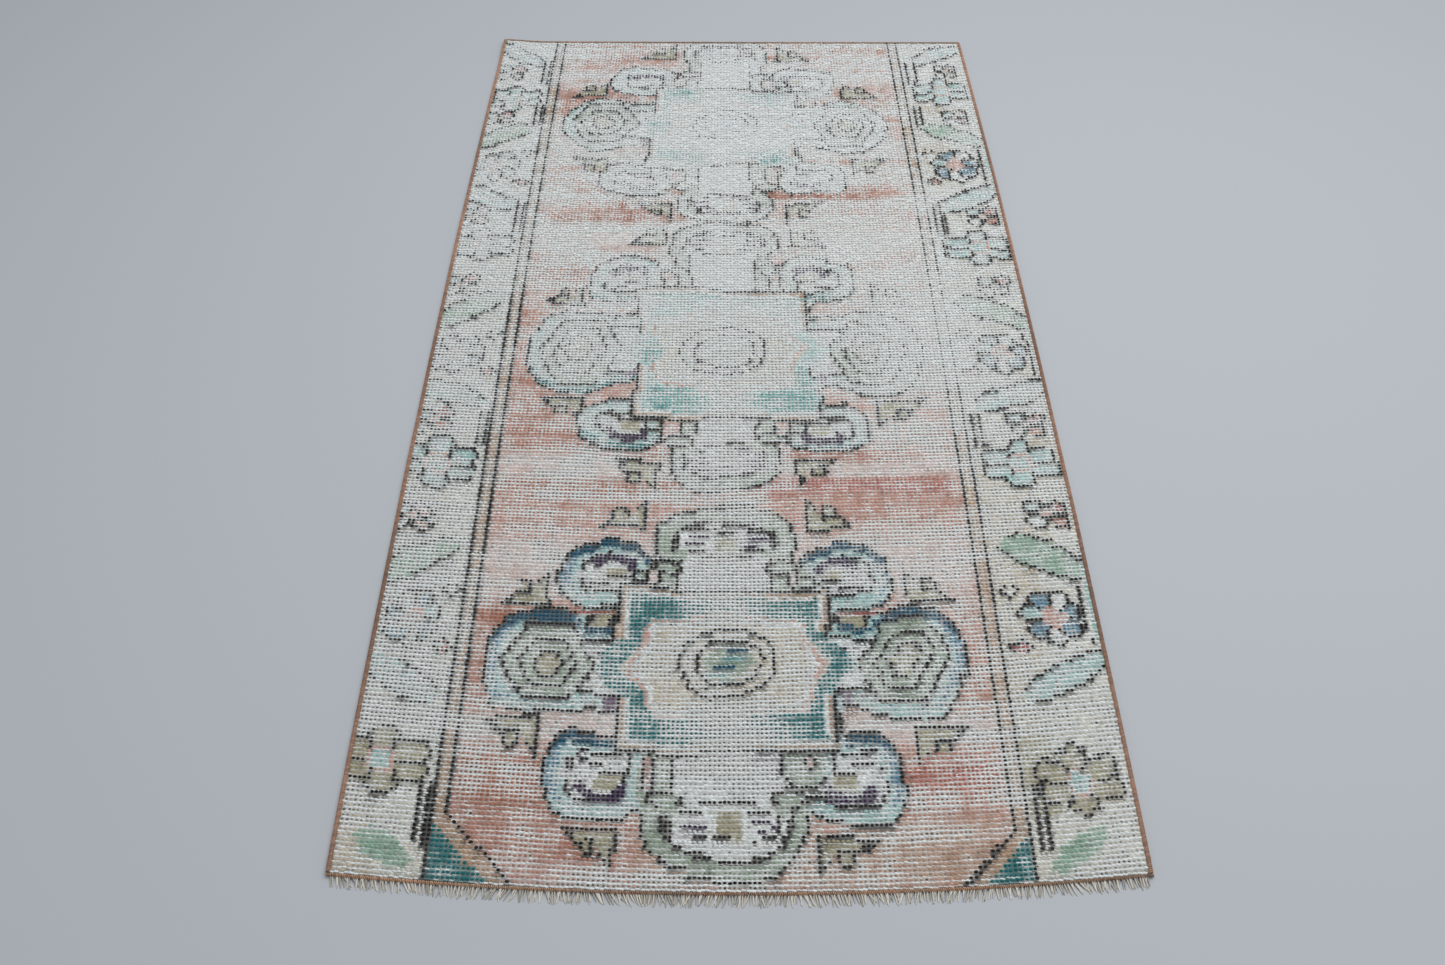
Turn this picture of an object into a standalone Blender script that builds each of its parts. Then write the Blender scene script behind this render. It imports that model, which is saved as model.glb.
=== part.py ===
"""Runner rug, hand-knotted in wool on a woven ground, as separate solids.

The rug lies flat on z = 0. X runs across it, Y along it and Z up. Its near end is at -Y.
The design is laid out in knots, as a weaver counts them: columns across, rows along.
"""

from math import cos, pi, sin, sqrt

import bmesh
import bpy

# Overall size, in metres
COLUMNS, ROWS = 165, 296
COLUMN_PITCH, ROW_PITCH = 0.0052, 0.0058
WIDTH = COLUMNS * COLUMN_PITCH
LENGTH = ROWS * ROW_PITCH
SIDE_BOW = 0.010
END_BOW = 0.022
NEAR_FRINGE, FAR_FRINGE = 0.018, 0.012

# Build through the thickness
GAP = 0.0003
GROUND_THICKNESS = 0.0030
PILE_HEIGHT = 0.0020
PILE_BASE = GROUND_THICKNESS + GAP
SELVEDGE_RADIUS = 0.0030
CORE_RADIUS = 0.0017
WRAP_BORE = CORE_RADIUS + GAP
END_CORD_RADIUS = 0.0022
FRINGE_THICKNESS = 0.0014
FRINGE_STRAND = 0.0042
FRINGE_STRIP = 0.0020
STRAND_COUNT = 80
STRAND_UNEVEN = 0.2
STRAND_LEAN = 0.25

# Design lines, in knots
GUARD_LEFT = (18.3, 22.5)
GUARD_RIGHT = (138.0, 142.2)
SPANDREL_COLUMNS, SPANDREL_ROWS = 11.5, 11.5
MEDALLION_COLUMN = 79.5
ROUNDEL_SIDE = (41.0, 14.0, 14.0)
ROUNDEL_END = (17.5, 11.5)
CORNER_LOBE = (27.5, 12.0, 10.5)
PANEL_HALF_COLUMNS = 25.0
SIDE_NECK = (41.0, 11.0)
END_NECK_COLUMNS = 16.0
MEDALLIONS = {
    "near": (49.0, 20.5, 35.0, 33.5),
    "middle": (144.5, 24.0, 37.5, 43.0),
    "far": (245.5, 21.5, 34.0, 38.5),
}

OUTLINE_STEPS = 96
SIDE_STEPS = 24
END_STEPS = 16
ROUND_SIDES = 12
SHARP_ANGLE = pi / 6
MITRE_LIMIT = 0.5
CUT_MARGIN = 0.001

# The fringes differ in length, so the cloth is moved along to centre the whole on the origin.
SHIFT = (END_BOW + NEAR_FRINGE - FAR_FRINGE) / 2
FRINGE_ROOT = 2 * END_CORD_RADIUS + GAP

YARNS = {
    "ground": (0.72, 0.69, 0.62),
    "border": (0.62, 0.60, 0.50),
    "guard": (0.56, 0.44, 0.33),
    "field": (0.66, 0.38, 0.28),
    "medallion": (0.60, 0.63, 0.56),
    "spandrel": (0.06, 0.27, 0.27),
    "core": (0.70, 0.66, 0.57),
    "wrap": (0.40, 0.22, 0.12),
    "overcast": (0.44, 0.27, 0.16),
    "fringe": (0.76, 0.73, 0.66),
}


def clear_scene():
    for obj in list(bpy.data.objects):
        bpy.data.objects.remove(obj, do_unlink=True)


def yarn(name):
    """The material of one yarn, made on first use."""
    material = bpy.data.materials.get(name + "_yarn")
    if material is None:
        material = bpy.data.materials.new(name + "_yarn")
        material.use_nodes = True
        shader = material.node_tree.nodes["Principled BSDF"]
        shader.inputs["Base Color"].default_value = (*YARNS[name], 1.0)
        shader.inputs["Roughness"].default_value = 0.92
        shader.inputs["Metallic"].default_value = 0.0
    return material


def half_width(along):
    """Half the cloth's width at a fraction of its length: the long sides bow out a little."""
    return WIDTH / 2 + SIDE_BOW * sin(pi * min(max(along, 0.0), 1.0)) ** 0.8


def place(column, row):
    """World x and y of a point of the design, given in knots."""
    along = row / ROWS
    across = 2 * column / COLUMNS - 1
    near_bow = END_BOW * (1 - across**2) * (1 - along)
    return across * half_width(along), LENGTH * (along - 0.5) - near_bow + SHIFT


def spread(first, last, steps):
    return [first + (last - first) * i / steps for i in range(steps + 1)]


def add_object(name, bm, yarn_name):
    bmesh.ops.recalc_face_normals(bm, faces=bm.faces)
    mesh = bpy.data.meshes.new(name)
    bm.to_mesh(mesh)
    bm.free()
    mesh.shade_smooth()
    mesh.set_sharp_from_angle(angle=SHARP_ANGLE)
    mesh.materials.append(yarn(yarn_name))
    obj = bpy.data.objects.new(name, mesh)
    bpy.context.scene.collection.objects.link(obj)
    return obj


def slab(name, outline, bottom, thickness, yarn_name):
    """A flat solid: the outline, a closed run of (x, y) points, raised through the thickness."""
    bm = bmesh.new()
    floor = [bm.verts.new((x, y, bottom)) for x, y in outline]
    roof = [bm.verts.new((x, y, bottom + thickness)) for x, y in outline]
    count = len(outline)
    bm.faces.new(floor[::-1])
    bm.faces.new(roof)
    for i in range(count):
        j = (i + 1) % count
        bm.faces.new((floor[i], floor[j], roof[j], roof[i]))
    return add_object(name, bm, yarn_name)


def strip_outline(left, right, near, far):
    """Outline of a strip between two columns and two rows, following the bowed edges."""
    points = [place(c, near) for c in spread(left, right, END_STEPS)]
    points += [place(right, r) for r in spread(near, far, SIDE_STEPS)[1:]]
    points += [place(c, far) for c in spread(right, left, END_STEPS)[1:]]
    points += [place(left, r) for r in spread(far, near, SIDE_STEPS)[1:-1]]
    return points


def tube(name, path, radius, bore, yarn_name):
    """A cord lying along the path, or a sleeve when it has a bore. Its ends are flat."""
    bm = bmesh.new()
    rings = []
    for i, (x, y, z) in enumerate(path):
        before, after = path[max(i - 1, 0)], path[min(i + 1, len(path) - 1)]
        dx, dy = after[0] - before[0], after[1] - before[1]
        run = sqrt(dx * dx + dy * dy)
        side = (dy / run, -dx / run)
        turns = [2 * pi * k / ROUND_SIDES for k in range(ROUND_SIDES)]
        rings.append(
            [
                [
                    bm.verts.new((x + side[0] * r * cos(a), y + side[1] * r * cos(a), z + r * sin(a)))
                    for a in turns
                ]
                for r in ((radius, bore) if bore else (radius,))
            ]
        )
    for first, second in zip(rings, rings[1:]):
        for wall, other in zip(first, second):
            for k in range(ROUND_SIDES):
                m = (k + 1) % ROUND_SIDES
                bm.faces.new((wall[k], wall[m], other[m], other[k]))
    for end in (rings[0], rings[-1]):
        if bore:
            for k in range(ROUND_SIDES):
                m = (k + 1) % ROUND_SIDES
                bm.faces.new((end[0][k], end[0][m], end[1][m], end[1][k]))
        else:
            bm.faces.new(end[0])
    return add_object(name, bm, yarn_name)


def reach(oval, angle):
    """How far a ray from the medallion's centre stays in an oval (x, y, half width, half length)."""
    ox, oy, a, b = oval
    dx, dy = cos(angle), sin(angle)
    p = (dx / a) ** 2 + (dy / b) ** 2
    q = ox * dx / a**2 + oy * dy / b**2
    c = (ox / a) ** 2 + (oy / b) ** 2 - 1
    root = q * q - p * c
    return (q + sqrt(root)) / p if root >= 0 else 0.0


def medallion_outline(key):
    """The cartouche as (column, row) points: a panel with roundels on necks and corner lobes."""
    row, panel_rows, near_reach, far_reach = MEDALLIONS[key]
    side_x, side_a, side_b = ROUNDEL_SIDE
    end_a, end_b = ROUNDEL_END
    lobe_x, lobe_a, lobe_b = CORNER_LOBE
    lobe_y = panel_rows + 1.0
    ovals = [(side_x, 0, side_a, side_b), (-side_x, 0, side_a, side_b)]
    ovals += [(0, far_reach, end_a, end_b), (0, -near_reach, end_a, end_b)]
    ovals += [(sx * lobe_x, sy * lobe_y, lobe_a, lobe_b) for sx in (-1, 1) for sy in (-1, 1)]
    points = []
    for i in range(OUTLINE_STEPS):
        angle = 2 * pi * (i + 0.5) / OUTLINE_STEPS
        dx, dy = cos(angle), sin(angle)
        neck_rows = far_reach if dy > 0 else near_reach
        boxes = [(PANEL_HALF_COLUMNS, panel_rows), SIDE_NECK, (END_NECK_COLUMNS, neck_rows)]
        # Half a step off the axes, neither part of the direction is ever zero.
        spans = [min(half_x / abs(dx), half_y / abs(dy)) for half_x, half_y in boxes]
        r = max(spans + [reach(oval, angle) for oval in ovals])
        points.append((MEDALLION_COLUMN + r * dx, row + r * dy))
    return points


def widened(points, distance):
    """A closed anticlockwise outline moved outwards, by a distance measured square to its sides."""
    moved = []
    for i, (x, y) in enumerate(points):
        (x0, y0), (x1, y1) = points[i - 1], points[(i + 1) % len(points)]
        before, after = sqrt((x - x0) ** 2 + (y - y0) ** 2), sqrt((x1 - x) ** 2 + (y1 - y) ** 2)
        first = ((y - y0) / before, (x0 - x) / before)
        second = ((y1 - y) / after, (x - x1) / after)
        share = 1 + first[0] * second[0] + first[1] * second[1]
        move = distance / max(share, MITRE_LIMIT)
        moved.append((x + (first[0] + second[0]) * move, y + (first[1] + second[1]) * move))
    return moved


def medallion_points(key, far_limit):
    """The cartouche in world x and y, cut straight where it would pass the far limit."""
    return [place(c, min(r, far_limit)) for c, r in medallion_outline(key)]


def fringe(name, row_edge, direction, length, yarn_name):
    """Free warp ends lying on the floor past the overcast end, held side by side by a strip."""
    first, last = 1.5, COLUMNS - 1.5
    step = (last - first) / STRAND_COUNT
    strand = FRINGE_STRAND / COLUMN_PITCH

    def point(column, out):
        x, y = place(column, row_edge)
        return x, y + direction * out

    root, tip = FRINGE_ROOT + GAP, FRINGE_ROOT + FRINGE_STRIP
    near_edge = [point(c, root) for c in spread(first, last, STRAND_COUNT)]
    comb = []
    for i in range(STRAND_COUNT):
        left = first + step * i + (step - strand) / 2
        # The strand at mid width has the full length, so the overall size is exact.
        uneven = 0.0 if i == STRAND_COUNT // 2 else STRAND_UNEVEN * (1 + sin(2.3 * i)) / 2
        lean = STRAND_LEAN * sin(1.7 * i)
        end = FRINGE_ROOT + length * (1 - uneven)
        comb += [
            point(left, tip),
            point(left + lean, end),
            point(left + strand + lean, end),
            point(left + strand, tip),
        ]
    outline = near_edge[::-1] + [point(first, tip)] + comb + [point(last, tip)]
    return slab(name, outline, 0.0, FRINGE_THICKNESS, yarn_name)


def build():
    clear_scene()
    edge = (2 * SELVEDGE_RADIUS + GAP) / COLUMN_PITCH
    left, right = edge, COLUMNS - edge
    gap_c = GAP / COLUMN_PITCH
    half_gap = gap_c / 2

    slab("ground_weave", strip_outline(left, right, 0, ROWS), 0.0, GROUND_THICKNESS, "ground")

    strips = {
        "pile_border_left": (left, GUARD_LEFT[0] - half_gap, "border"),
        "pile_guard_left": (GUARD_LEFT[0] + half_gap, GUARD_LEFT[1] - half_gap, "guard"),
        "pile_guard_right": (GUARD_RIGHT[0] + half_gap, GUARD_RIGHT[1] - half_gap, "guard"),
        "pile_border_right": (GUARD_RIGHT[1] + half_gap, right, "border"),
    }
    for name, (first, last, colour) in strips.items():
        slab(name, strip_outline(first, last, 0, ROWS), PILE_BASE, PILE_HEIGHT, colour)

    # The field fills the middle; its near corners are cut off for the spandrels.
    inner_left, inner_right = GUARD_LEFT[1] + half_gap, GUARD_RIGHT[0] - half_gap
    cut_c, cut_r = SPANDREL_COLUMNS, SPANDREL_ROWS
    outline = [place(c, 0) for c in spread(inner_left + cut_c, inner_right - cut_c, END_STEPS)]
    outline += [place(inner_right, r) for r in spread(cut_r, ROWS, SIDE_STEPS)]
    outline += [place(c, ROWS) for c in spread(inner_right, inner_left, END_STEPS)[1:]]
    outline += [place(inner_left, r) for r in spread(ROWS, cut_r, SIDE_STEPS)[1:]]
    field = slab("pile_field", outline, PILE_BASE, PILE_HEIGHT, "field")
    for key in MEDALLIONS:
        wide = widened(medallion_points(key, ROWS + CUT_MARGIN / ROW_PITCH), GAP)
        cutter = slab(
            "opening_" + key, wide, PILE_BASE - CUT_MARGIN, PILE_HEIGHT + 2 * CUT_MARGIN, "field"
        )
        cutter.hide_render = True
        cutter.display_type = "WIRE"
        opening = field.modifiers.new("Opening " + key, "BOOLEAN")
        opening.operation = "DIFFERENCE"
        opening.solver = "EXACT"
        opening.object = cutter
        points = medallion_points(key, ROWS)
        slab("pile_medallion_" + key, points, PILE_BASE, PILE_HEIGHT, "medallion")

    spare = 2 * gap_c
    for name, corner, way in (("left", inner_left, 1), ("right", inner_right, -1)):
        outline = [
            place(corner, 0),
            place(corner + way * (cut_c - spare), 0),
            place(corner, cut_r - spare),
        ]
        slab("pile_spandrel_" + name, outline[::way], PILE_BASE, PILE_HEIGHT, "spandrel")

    for name, way in (("left", -1), ("right", 1)):
        path = []
        for i in range(SIDE_STEPS + 1):
            along = i / SIDE_STEPS
            x = way * (half_width(along) - SELVEDGE_RADIUS)
            path.append((x, LENGTH * (along - 0.5) + SHIFT, SELVEDGE_RADIUS))
        tube("selvedge_core_" + name, path, CORE_RADIUS, 0.0, "core")
        tube("selvedge_wrap_" + name, path, SELVEDGE_RADIUS, WRAP_BORE, "wrap")

    for name, row_edge, way in (("near", 0, -1), ("far", ROWS, 1)):
        path = []
        for column in spread(left, right, SIDE_STEPS):
            x, y = place(column, row_edge)
            path.append((x, y + way * (END_CORD_RADIUS + GAP), END_CORD_RADIUS))
        tube("end_overcast_" + name, path, END_CORD_RADIUS, 0.0, "overcast")
    fringe("fringe_near", 0, -1, NEAR_FRINGE, "fringe")
    fringe("fringe_far", ROWS, 1, FAR_FRINGE, "fringe")


build()
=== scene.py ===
"""Looks of the runner rug: worn hand-knotted wool pile on a woven cotton ground.

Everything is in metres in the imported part's frame: X across the rug, Y along it, Z up.
The design is a weaver's chart. Every knot of it becomes a tuft of wool with its own dye and wear.
"""

from math import pi, radians

import bpy
import numpy as np
from mathutils import Euler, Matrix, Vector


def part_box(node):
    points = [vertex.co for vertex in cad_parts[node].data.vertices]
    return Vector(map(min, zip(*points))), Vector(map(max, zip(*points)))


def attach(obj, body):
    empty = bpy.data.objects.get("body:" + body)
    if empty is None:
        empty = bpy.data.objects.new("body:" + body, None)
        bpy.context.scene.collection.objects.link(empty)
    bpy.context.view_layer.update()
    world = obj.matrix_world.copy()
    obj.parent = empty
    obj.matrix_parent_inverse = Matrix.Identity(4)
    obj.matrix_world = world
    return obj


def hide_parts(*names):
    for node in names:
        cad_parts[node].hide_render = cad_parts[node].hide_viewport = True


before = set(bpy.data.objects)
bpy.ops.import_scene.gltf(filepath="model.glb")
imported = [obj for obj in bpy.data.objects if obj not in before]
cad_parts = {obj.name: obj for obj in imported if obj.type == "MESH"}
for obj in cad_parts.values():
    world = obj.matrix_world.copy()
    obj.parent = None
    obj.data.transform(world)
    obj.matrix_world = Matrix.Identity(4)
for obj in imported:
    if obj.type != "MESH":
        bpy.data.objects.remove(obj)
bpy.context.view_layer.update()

# The cloth, as the part has it
COLUMNS, ROWS = 165, 296
COLUMN_PITCH, ROW_PITCH = 0.0052, 0.0058
WIDTH, LENGTH = COLUMNS * COLUMN_PITCH, ROWS * ROW_PITCH
SIDE_BOW, END_BOW = 0.010, 0.022
NEAR_FRINGE, FAR_FRINGE = 0.018, 0.012
SHIFT = (END_BOW + NEAR_FRINGE - FAR_FRINGE) / 2
GROUND_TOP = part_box("ground_weave")[1][2]
PILE_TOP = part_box("pile_field")[1][2]
SELVEDGE_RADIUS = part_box("selvedge_wrap_left")[1][2] / 2
CORE_RADIUS = (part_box("selvedge_core_left")[1][2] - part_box("selvedge_core_left")[0][2]) / 2
END_CORD_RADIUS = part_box("end_overcast_near")[1][2] / 2
GAP = 0.0003  # between pieces that would else meet in one plane

# The design's lines, in knots
GUARD_LEFT, GUARD_RIGHT = (18.3, 23.0), (138.0, 142.2)
GUARD_LINES = ((19.5, 22.5), (138.5, 141.5))
CENTRE = 79.8
SEED = 1921

# Each medallion, in rows: its middle, the panel's half, the side roundels' middle and half, the near and far
# lobes' middles and halves, and the end roundels' middles, halves and half columns. "tip" is the power of the
# side roundels' ovals. "patches" are aqua spots on the panel: column, row, half columns and half rows.
# "bands" are the dyes of the band within the outline: at the sides, elsewhere, near and far.
MEDALLIONS = {
    "near": {
        "row": 49.0, "panel": 20.0, "tip": 3.0,
        "side": (49.0, 13.7), "lobes": ((23.0, 10.5), (71.8, 9.8)),
        "roundels": ((14.0, 13.0, 18.0), (82.5, 10.5, 17.0)), "ground": "teal",
        "patches": (),
        "bands": ("blue", "mint", "mint", "navy"),
    },
    "middle": {
        "row": 144.5, "panel": 24.0, "tip": 2.6,
        "side": (144.0, 16.0), "lobes": ((117.5, 8.5), (173.0, 9.8)),
        "roundels": ((107.5, 11.5, 15.0), (188.5, 10.5, 16.0)), "ground": "mint",
        "patches": (
            (66, 127, 9, 4.5), (94, 127, 7, 4), (82, 165.5, 22, 0.9), (59, 144, 4, 5), (101, 131, 3, 8),
        ),
        "bands": ("mint", "mint", "teal", "mint"),
    },
    "far": {
        "row": 246.0, "panel": 21.0, "tip": 1.6,
        "side": (246.5, 14.5), "lobes": ((219.0, 8.5), (271.5, 9.3)),
        "roundels": ((207.0, 8.5, 15.0), (287.0, 10.5, 15.5)), "ground": "mint",
        "patches": (
            (69, 228, 8, 3.5), (95, 228, 7, 3), (67, 265, 8, 2.5), (95, 264, 6, 2.5), (57, 247, 4, 5),
        ),
        "bands": ("mint", "mint", "mint", "mint"),
    },
}

# Each border's middle column, the way out from the field, and the rows of its stepped flowers
BORDERS = ((8.0, -1, (24, 104, 186, 262)), (153.8, 1, (20.5, 104, 186, 265)))
ROSETTE_ROWS = (59, 143, 224)
BUD_ROWS = (87, 117, 169, 200, 250, 277)
STRIPE_ROWS = ((6, 20), (110, 121), (192, 206), (246, 258), (270, 284))

C, R = np.meshgrid(np.arange(COLUMNS) + 0.5, np.arange(ROWS) + 0.5)

# Dyed wools, as sRGB
DYES = {
    "ivory": (222, 227, 227),
    "cream": (208, 205, 194),
    "khaki": (162, 156, 130),
    "beige": (188, 177, 158),
    "tan": (174, 144, 118),
    "rust": (160, 96, 68),
    "salmon": (178, 120, 98),
    "pink": (194, 154, 142),
    "red": (164, 78, 74),
    "teal": (0, 104, 108),
    "navy": (14, 78, 102),
    "blue": (84, 128, 150),
    "mint": (152, 190, 188),
    "aqua": (100, 160, 158),
    "sage": (140, 156, 138),
    "leaf": (140, 172, 152),
    "aubergine": (48, 26, 66),
    "mauve": (116, 96, 120),
    "black": (20, 20, 20),
}
NAMES = list(DYES)
WORN_HOLE_SHADE = (46, 46, 45)  # painted shade of the hole where a knot's pile is worn away
WEFT_COTTON = (236, 241, 243)
GROUND_COTTON = (188, 189, 187)
CORE_COTTON = (188, 182, 168)
WARP_COTTON = (246, 240, 228)
SELVEDGE_WOOL = (170, 130, 108)
OVERCAST_WOOL = (172, 130, 100)


def linear(colour):
    """Linear light of an sRGB colour given from 0 to 255."""
    share = np.asarray(colour, float) / 255
    return np.where(share <= 0.04045, share / 12.92, ((share + 0.055) / 1.055) ** 2.4)


# ---------------------------------------------------------------- the cloth's shape


def half_width(along):
    """Half the cloth's width, from 0 at its near end to 1 at its far end."""
    return WIDTH / 2 + SIDE_BOW * np.sin(pi * np.clip(along, 0, 1)) ** 0.8


def place(column, row):
    """World x and y of a point of the design, given in knots."""
    along = row / ROWS
    across = 2 * column / COLUMNS - 1
    near_bow = END_BOW * (1 - across**2) * (1 - along)
    return across * half_width(along), LENGTH * (along - 0.5) - near_bow + SHIFT


def lift(x, y):
    """How far the cloth stands off the floor: a few soft ripples and one curled corner."""
    ripple = 1 + np.sin(5.1 * y + 2.2 * x + 0.6) * np.cos(3.4 * x - 0.9 * y + 0.4)
    fold = np.exp(-(((y + 0.30 + 0.10 * x) / 0.07) ** 2))
    fold = fold + 0.8 * np.exp(-(((y - 0.34 - 0.2 * x) / 0.09) ** 2))
    corner = np.exp(-(((x + 0.43) / 0.05) ** 2) - ((y - 0.87) / 0.05) ** 2)
    return 0.0006 * ripple + 0.0012 * fold + 0.0045 * corner


# ---------------------------------------------------------------- the weaver's chart


def dyed(dye, *names):
    """Which knots have one of the named dyes."""
    return np.isin(dye, [NAMES.index(name) for name in names])


def smooth_noise(rng, columns, rows):
    """Noise from -1 to 1 over the chart that changes over about so many knots."""
    grid = rng.uniform(-1, 1, (int(ROWS / rows) + 4, int(COLUMNS / columns) + 4))
    y, x = R / rows + rng.uniform(), C / columns + rng.uniform()
    j, i = y.astype(int), x.astype(int)
    v, u = y - j, x - i
    v, u = v * v * (3 - 2 * v), u * u * (3 - 2 * u)
    low = grid[j, i] * (1 - u) + grid[j, i + 1] * u
    high = grid[j + 1, i] * (1 - u) + grid[j + 1, i + 1] * u
    return low * (1 - v) + high * v


def oval(x, y, centre, half, power=2.0, along_power=None):
    """True within an oval. A higher power squares its corners. A lower one along the rug draws out tips."""
    u, v = np.abs(x - centre[0]) / half[0], np.abs(y - centre[1]) / half[1]
    return u**power + v ** (along_power or power) < 1


def block(x, y, centre, half):
    """True within a rectangle."""
    return (np.abs(x - centre[0]) < half[0]) & (np.abs(y - centre[1]) < half[1])


def hexagon(x, y, centre, half):
    """True within a hexagon whose points are at its left and right."""
    u, v = np.abs(x - centre[0]) / half[0], np.abs(y - centre[1]) / half[1]
    return np.maximum(v, u * 0.74 + v * 0.52) < 1


def shrink(shape, knots):
    """The shape with its outermost knots taken off, so many times."""
    for step in range(knots):
        wide = np.pad(shape, 1)
        shape = wide[1:-1, 1:-1] & wide[:-2, 1:-1] & wide[2:, 1:-1] & wide[1:-1, :-2] & wide[1:-1, 2:]
        if step % 2:
            shape = shape & wide[:-2, :-2] & wide[2:, 2:] & wide[:-2, 2:] & wide[2:, :-2]
    return shape


def rim(shape, inset, width):
    """The band of a shape that starts so many knots within its edge."""
    return shrink(shape, inset) & ~shrink(shape, inset + width)


class Chart:
    """The dye of every knot."""

    def __init__(self):
        self.dye = np.full((ROWS, COLUMNS), NAMES.index("cream"))

    def paint(self, shape, dye):
        """Dyes the knots of a shape."""
        self.dye[shape] = NAMES.index(dye)

    def outlined(self, shape, dye):
        """Dyes a shape within a line of black knots."""
        self.paint(shape, dye)
        self.paint(rim(shape, 0, 1), "black")

    def bars(self, x, y, way, bars):
        """Dyes rectangles, each given by its middle, its two halves and its dye."""
        for across, along, half_columns, half_rows, dye in bars:
            self.paint(block(x, y, (way * across, along), (half_columns, half_rows)), dye)


def draw_guards(chart):
    """The two narrow stripes between the field and the borders: tan between dotted black lines."""
    for first, last in GUARD_LINES:
        chart.paint((C > first - 0.6) & (C < last + 0.6), "cream")
        chart.paint((C > first + 0.6) & (C < last - 0.6), "tan")
        chart.paint(np.abs(C - first) < 0.5, "black")
        chart.paint(np.abs(C - last) < 0.5, "black")


def draw_spandrels(chart):
    """The teal triangles in the field's near corners."""
    for corner, way, size in ((19.5, 1, 12.5), (141.0, -1, 9.5)):
        x = (C - corner) * way
        reach = x + R * 1.02 - size
        chart.paint((x > 3) & (reach < 4.6), "black")
        chart.paint((x > 0) & (reach < 3.4), "tan")
        chart.paint((x > 0) & (reach < 0), "teal")


FLAG = (
    "...........K",
    "..........KK",
    ".....KKK.KkK",
    "....KkkK.kkK",
    "....KkkKkkkK",
    "...KKKKKkkkK",
    "..KkkkkkkkkK",
    ".KKkkkkkkkkK",
    "KKKKKKKKKKKK",
)
FLAG_DYES = {"K": "black", "k": "khaki"}


def draw_flag(chart, column, row, flip_columns, flip_rows):
    """A little hooked flag. Its pole stands at the column, and its base line at the row."""
    for j, line in enumerate(FLAG[::-1]):
        for i, mark in enumerate(line[::-1]):
            c = column + i if flip_columns else column - i
            r = row - j if flip_rows else row + j
            if mark in FLAG_DYES and 0 <= c < COLUMNS and 0 <= r < ROWS:
                chart.dye[r, c] = NAMES.index(FLAG_DYES[mark])


def cartouche(medallion):
    """The medallion's whole outline: a panel, two side roundels, two end ones and four lobes."""
    x, row, panel = C - CENTRE, medallion["row"], medallion["panel"]
    side_row, side_half = medallion["side"]
    shape = block(x, R, (0, row), (25, panel + 1))
    for way in (-1, 1):
        shape |= oval(x, R, (way * 40.0, side_row), (14.2, side_half), medallion["tip"], 1.9)
        shape |= block(x, R, (way * 30, side_row), (8, side_half * 0.8))
        for middle, half in medallion["lobes"]:
            shape |= oval(x, R, (way * 27.5, middle), (11.0, half), 2.6)
    for middle, half, wide in medallion["roundels"]:
        shape |= oval(x, R, (0, middle), (wide, half), 2.5)
        shape |= block(x, R, (0, (middle + row) / 2), (wide - 2, abs(middle - row) / 2))
    return shape


# A side roundel's rings: half columns, half rows as a share of the roundel's, and dye
SIDE_RINGS = ((8.1, 0.76, "sage"), (5.3, 0.50, "sage"), (2.9, 0.28, "khaki"))
# Its bars: column, row in knots plus a share of the roundel's half rows, the bar's halves, and dye
SIDE_BARS = (
    (28.0, 0, 0.80, 3.4, 1.2, "black"), (28.0, 0, 0.80, 2.0, 0.6, "khaki"),
    (31.5, 0, 0.93, 2.2, 0.6, "red"), (26.5, 0, -0.60, 1.6, 1.6, "mauve"),
    (26.0, 3, -0.2, 1.4, 0.6, "black"), (26.0, 6, -0.2, 1.4, 0.6, "black"),
)
# A lobe's and an end roundel's bars: column, row, halves and dye
LOBE_BARS = (
    (25.0, 0.2, 2.6, 1.4, "khaki"), (24.5, -1.7, 3.2, 0.5, "black"), (29.0, -3.2, 2.4, 0.5, "black"),
    (19.0, -6, 2.2, 0.5, "black"), (19.0, -2, 2.2, 0.5, "black"), (19.0, 1, 2.2, 0.5, "black"),
)
END_BARS = ((0, 0, 2.0, 3.0, "khaki"), (0, 3.6, 2.6, 0.5, "black"), (0, -4.4, 6.0, 0.5, "black"))


def draw_side_roundel(chart, medallion, way):
    """Thin hexagons one within another, each a line of black knots on pale wool."""
    middle, half = medallion["side"]
    x, y = C - CENTRE, R - middle
    for across, along, dye in SIDE_RINGS:
        chart.outlined(hexagon(x, y, (way * 39.5, 0.3), (across, along * half)), dye)
    chart.bars(x, y, way, [(across, row + share * half, *rest) for across, row, share, *rest in SIDE_BARS])


def draw_lobe(chart, way, middle, outward):
    """The blots within a corner lobe: a purple crescent over a khaki block, and a few broken lines."""
    x, y = C - CENTRE, (R - middle) * outward
    crescent = oval(x, y, (way * 26.0, 2.6), (5.6, 2.6))
    crescent &= ~oval(x, y, (way * 26.0, 0.4), (3.6, 2.6))
    chart.paint(crescent, "aubergine")
    chart.bars(x, y, way, LOBE_BARS)
    chart.outlined(oval(x, y, (way * 13.0, 3.6), (4.2, 2.2)), "sage")


def draw_end_roundel(chart, middle, half, wide, outward):
    """Purple bars either side of a khaki block, within a broken line."""
    x, y = C - CENTRE, (R - middle) * outward
    shape = oval(x, y, (0, 0), (wide - 5.0, half - 3.6), 2.5)
    chart.paint(rim(shape, 0, 1) & (y > -1), "black")
    for way in (-1, 1):
        for step, dye in ((-2.4, "black"), (-0.4, "aubergine"), (1.6, "aubergine"), (3.6, "black")):
            chart.paint(block(x, y, (way * 7.0 + 0.3 * step, step), (2.6, 0.5)), dye)
        chart.paint(block(x, y, (way * 11.0, 0.6), (0.5, 2.6)), "black")
        chart.paint(oval(x, y, (way * (wide - 6.4), -3.0), (2.0, 1.6)), "sage")
    chart.bars(x, y, 1, END_BARS)


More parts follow.
